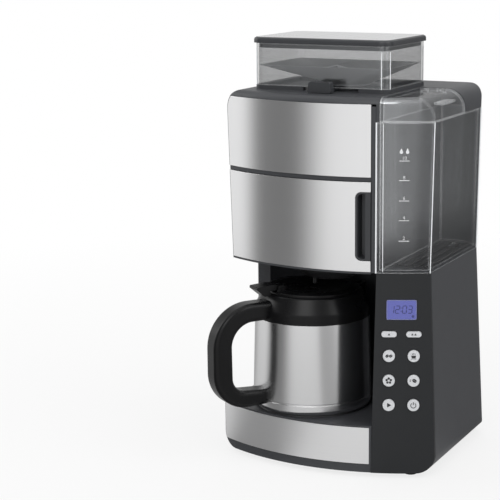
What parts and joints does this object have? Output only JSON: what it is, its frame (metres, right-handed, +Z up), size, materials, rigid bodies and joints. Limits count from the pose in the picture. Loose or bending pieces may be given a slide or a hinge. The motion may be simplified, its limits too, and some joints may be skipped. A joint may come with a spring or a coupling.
{
  "type": "grind-and-brew filter coffee machine",
  "caption": "Filter coffee machine with bean hopper and burr grinder on top, clear side water tank, control column, steel-faced filter door and steel insulated carafe.",
  "frame": {"origin": "on the floor under the middle of the whole machine with its carafe and handle", "axes": "+X to the right seen from the front, +Y to the back, +Z up; the front faces -Y"},
  "size_m": [0.2312, 0.2431, 0.43],
  "materials": {
    "housing": "satin anthracite plastic",
    "panel": "satin anthracite plastic",
    "rest": "fine-textured black plastic",
    "steel_face": "brushed sheet",
    "carafe_steel": "polished and finely brushed",
    "liner_steel": "drawn sheet",
    "black_plastic": "black, half gloss",
    "dark_trim": "black satin plastic",
    "lid_metal": "satin silver",
    "hopper_clear": "clear moulded plastic",
    "tank_clear": "clear smoked plastic",
    "lid_clear": "clear moulded plastic",
    "funnel_plastic": "pale translucent plastic",
    "rubber": "moulded rubber",
    "button": "silver lacquered plastic",
    "display": "lit display under a clear window",
    "lcd": "display module",
    "board": "printed circuit board",
    "fastener_steel": "turned steel",
    "burr_steel": "hardened steel",
    "gear_plastic": "natural nylon",
    "motor_can": "zinc plated can",
    "heater_metal": "cast and drawn metal",
    "inner_plastic": "dark moulded plastic",
    "mesh": "fine metal mesh"
  },
  "bodies": {
    "machine": {"rear_housing": "housing", "column_housing": "housing", "base_tray": "housing", "top_cover": "housing", "fascia_frame": "housing", "brew_deck": "housing", "base_plate": "housing", "control_panel": "panel", "carafe_rest": "rest", "upper_fascia": "steel_face", "base_trim": "steel_face", "bean_hopper": "hopper_clear", "water_tank": "tank_clear", "hopper_funnel": "funnel_plastic", "bean_guard": "funnel_plastic", "feet": "rubber", "supply_hose": "rubber", "mains_gland": "rubber", "display_window": "display", "lcd_module": "lcd", "control_board": "board", "base_screws": "fastener_steel", "hinge_pins": "fastener_steel", "grinder_motor": "motor_can", "flow_heater": "heater_metal", "riser_tube": "heater_metal", "grinder_housing": "inner_plastic", "coffee_chute": "inner_plastic", "gear_plate": "inner_plastic", "shower_head": "inner_plastic"},
    "hopper_lid": {"hopper_lid": "dark_trim", "lid_plate": "lid_metal"},
    "grind_selector": {"grind_selector": "dark_trim", "ring_burr": "burr_steel"},
    "burr_drive": {"cone_burr": "burr_steel", "burr_shaft": "fastener_steel", "burr_gear": "gear_plastic"},
    "motor_rotor": {"motor_pinion": "fastener_steel"},
    "filter_door": {"door_frame": "housing", "door_fascia": "steel_face", "door_grip": "dark_trim", "filter_basket": "inner_plastic", "mesh_filter": "mesh"},
    "drip_valve": {"drip_valve": "inner_plastic"},
    "tank_lid": {"tank_lid": "lid_clear"},
    "carafe": {"carafe_shell": "carafe_steel", "carafe_liner": "liner_steel", "carafe_collar": "black_plastic", "carafe_handle": "black_plastic"},
    "carafe_lid": {"carafe_lid": "black_plastic"},
    "lid_lever": {"lid_lever": "black_plastic"},
    "hour_button": {"hour_button": "button"},
    "minute_button": {"minute_button": "button"},
    "beans_button": {"beans_button": "button"},
    "cups_button": {"cups_button": "button"},
    "strength_button": {"strength_button": "button"},
    "grind_button": {"grind_button": "button"},
    "start_button": {"start_button": "button"},
    "power_button": {"power_button": "button"}
  },
  "joints": [
    {"name": "hopper_lid_lift", "type": "slide", "parent": "machine", "child": "hopper_lid", "axis": [0, 0, 1], "range_m": [0, 0.09]},
    {"name": "grind_selector_turn", "type": "hinge", "parent": "machine", "child": "grind_selector", "pos_m": [-0.005, 0.017, 0.38], "axis": [0, 0, 1], "range_deg": [-12, 12]},
    {"name": "burr_spin", "type": "hinge", "parent": "machine", "child": "burr_drive", "pos_m": [-0.005, 0.017, 0.309], "axis": [0, 0, 1], "continuous": true},
    {"name": "motor_spin", "type": "hinge", "parent": "machine", "child": "motor_rotor", "pos_m": [-0.0528, 0.04804, 0.309], "axis": [0, 0, 1], "continuous": true},
    {"name": "filter_door_swing", "type": "hinge", "parent": "machine", "child": "filter_door", "pos_m": [-0.1035, -0.031, 0.25], "axis": [0, 0, -1], "range_deg": [0, 95]},
    {"name": "drip_valve_lift", "type": "slide", "parent": "filter_door", "child": "drip_valve", "axis": [0, 0, 1], "range_m": [0, 0.004], "stiffness_N_per_m": 120},
    {"name": "tank_lid_hinge", "type": "hinge", "parent": "machine", "child": "tank_lid", "pos_m": [0.075, 0.046, 0.3754], "axis": [-1, 0, 0], "range_deg": [0, 92]},
    {"name": "carafe_slide_out", "type": "slide", "parent": "machine", "child": "carafe", "axis": [0, -1, 0], "range_m": [0, 0.2]},
    {"name": "carafe_lid_turn", "type": "hinge", "parent": "carafe", "child": "carafe_lid", "pos_m": [-0.0314, -0.0191, 0.174], "axis": [0, 0, 1], "range_deg": [0, 40]},
    {"name": "lid_lever_press", "type": "hinge", "parent": "carafe_lid", "child": "lid_lever", "pos_m": [-0.05549, -0.0535, 0.1805], "axis": [0.8192, -0.5736, 0], "range_deg": [0, 8], "stiffness_Nm_per_rad": 0.2},
    {"name": "hour_button_press", "type": "slide", "parent": "machine", "child": "hour_button", "axis": [-0.3868, 0.9202, -0.0593], "range_m": [0, 0.001], "stiffness_N_per_m": 300},
    {"name": "minute_button_press", "type": "slide", "parent": "machine", "child": "minute_button", "axis": [-0.3868, 0.9202, -0.0593], "range_m": [0, 0.001], "stiffness_N_per_m": 300},
    {"name": "beans_button_press", "type": "slide", "parent": "machine", "child": "beans_button", "axis": [-0.3868, 0.9202, -0.0593], "range_m": [0, 0.001], "stiffness_N_per_m": 300},
    {"name": "cups_button_press", "type": "slide", "parent": "machine", "child": "cups_button", "axis": [-0.3868, 0.9202, -0.0593], "range_m": [0, 0.001], "stiffness_N_per_m": 300},
    {"name": "strength_button_press", "type": "slide", "parent": "machine", "child": "strength_button", "axis": [-0.3868, 0.9202, -0.0593], "range_m": [0, 0.001], "stiffness_N_per_m": 300},
    {"name": "grind_button_press", "type": "slide", "parent": "machine", "child": "grind_button", "axis": [-0.3868, 0.9202, -0.0593], "range_m": [0, 0.001], "stiffness_N_per_m": 300},
    {"name": "start_button_press", "type": "slide", "parent": "machine", "child": "start_button", "axis": [-0.3868, 0.9202, -0.0593], "range_m": [0, 0.001], "stiffness_N_per_m": 300},
    {"name": "power_button_press", "type": "slide", "parent": "machine", "child": "power_button", "axis": [-0.3868, 0.9202, -0.0593], "range_m": [0, 0.001], "stiffness_N_per_m": 300}
  ],
  "couplings": [
    {"joint": "motor_spin", "follows": "burr_spin", "ratio": -3.75}
  ]
}
